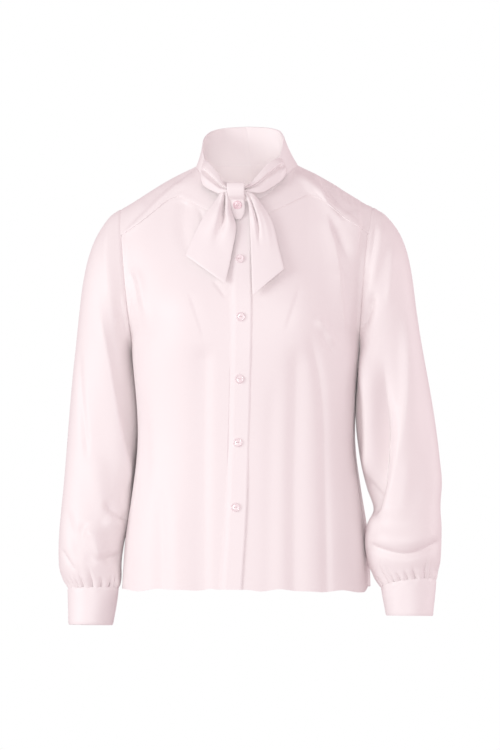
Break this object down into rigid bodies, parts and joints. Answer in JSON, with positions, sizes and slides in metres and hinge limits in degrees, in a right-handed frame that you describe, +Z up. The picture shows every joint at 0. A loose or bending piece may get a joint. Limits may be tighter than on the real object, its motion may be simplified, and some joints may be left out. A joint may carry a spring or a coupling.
{
  "type": "tie-neck blouse",
  "caption": "Long-sleeved pink blouse with a stand collar, a necktie held by a buttoned tab, a buttoned front, a shoulder yoke and full sleeves gathered into deep cuffs.",
  "frame": {"origin": "middle of the neck at the height of the shoulder points, where the wearer carries the blouse", "axes": "+Z up along the body, -Y to the front with the buttons, +X to the wearer's left"},
  "size_m": [0.569, 0.2455, 0.7519],
  "materials": {
    "crepe_satin": "satin",
    "crepe_satin_faced": "satin",
    "pearl_button": "gloss"
  },
  "bodies": {
    "root": {"front_right": "crepe_satin", "front_left": "crepe_satin", "back": "crepe_satin", "yoke": "crepe_satin", "collar": "crepe_satin_faced", "button_stand": "crepe_satin_faced", "placket": "crepe_satin_faced", "keeper_tab": "crepe_satin_faced", "tie_band_right": "crepe_satin_faced", "tie_band_left": "crepe_satin_faced", "tie_end_right": "crepe_satin_faced", "tie_end_left": "crepe_satin_faced", "sleeve_right": "crepe_satin", "sleeve_left": "crepe_satin", "cuff_right": "crepe_satin_faced", "cuff_left": "crepe_satin_faced", "button_1": "pearl_button", "button_2": "pearl_button", "button_3": "pearl_button", "button_4": "pearl_button", "button_5": "pearl_button", "button_6": "pearl_button", "cuff_button_right": "pearl_button", "cuff_button_left": "pearl_button"}
  },
  "joints": []
}
